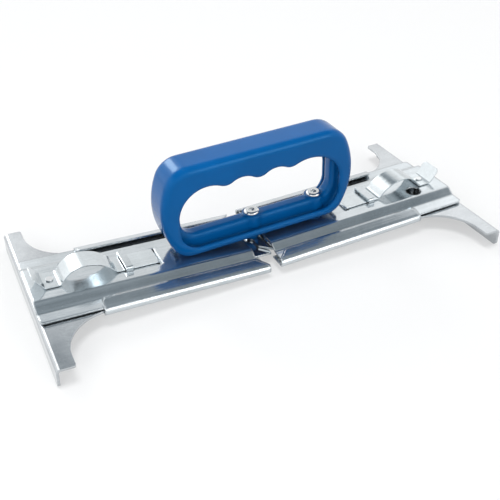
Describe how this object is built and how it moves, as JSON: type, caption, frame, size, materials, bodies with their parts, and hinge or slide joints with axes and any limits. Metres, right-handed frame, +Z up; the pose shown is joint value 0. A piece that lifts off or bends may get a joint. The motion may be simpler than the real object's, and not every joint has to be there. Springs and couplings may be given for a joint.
{
  "type": "slab lifter",
  "caption": "Hand slab lifter: two hinged plated-steel sleeves with sliding gripping jaws, sprung latches over rows of holes, and a closed moulded handle on top.",
  "frame": {"origin": "middle of the footprint, on the floor that the two lips stand on", "axes": "+X along the tool, from the left jaw to the right jaw that carries the handle; +Y across, away from the viewer of the picture; +Z up"},
  "size_m": [0.311, 0.147, 0.0831],
  "materials": {
    "plated_sheet": "bright zinc-plated sheet steel",
    "plated_fixings": "bright zinc-plated fixings",
    "handle_plastic": "glossy royal blue moulded plastic"
  },
  "bodies": {
    "frame": {"right_guide": "plated_sheet", "right_channel": "plated_sheet", "right_leaf": "plated_sheet", "right_latch_strap": "plated_sheet", "handle": "handle_plastic", "centre_screw": "plated_fixings", "outer_screw": "plated_fixings", "centre_spacer": "handle_plastic", "outer_spacer": "handle_plastic", "hinge_pin": "plated_fixings"},
    "left_half": {"left_guide": "plated_sheet", "left_channel": "plated_sheet", "left_leaf": "plated_sheet", "left_latch_strap": "plated_sheet", "inner_leaf_rivet": "plated_fixings", "outer_leaf_rivet": "plated_fixings"},
    "right_sliding_jaw": {"right_jaw": "plated_sheet"},
    "left_sliding_jaw": {"left_jaw": "plated_sheet"},
    "right_latch": {"right_latch_spring": "plated_sheet", "right_latch_peg": "plated_fixings"},
    "left_latch": {"left_latch_spring": "plated_sheet", "left_latch_peg": "plated_fixings"}
  },
  "joints": [
    {"name": "left_half_fold", "type": "hinge", "parent": "frame", "child": "left_half", "pos_m": [0.0081, 0, 0.00892], "axis": [0, -1, 0], "range_deg": [0, 16]},
    {"name": "right_jaw_slide", "type": "slide", "parent": "frame", "child": "right_sliding_jaw", "axis": [0.9994, 0, 0.034], "range_m": [0, 0.075]},
    {"name": "left_jaw_slide", "type": "slide", "parent": "left_half", "child": "left_sliding_jaw", "axis": [-0.9989, 0, 0.0462], "range_m": [0, 0.075]},
    {"name": "right_latch_lift", "type": "hinge", "parent": "frame", "child": "right_latch", "pos_m": [0.07092, 0, 0.01539], "axis": [0, -1, 0], "range_deg": [0, 3.5], "stiffness_Nm_per_rad": 2},
    {"name": "left_latch_lift", "type": "hinge", "parent": "left_half", "child": "left_latch", "pos_m": [-0.07073, 0, 0.01437], "axis": [0, 1, 0], "range_deg": [0, 3.5], "stiffness_Nm_per_rad": 2}
  ]
}
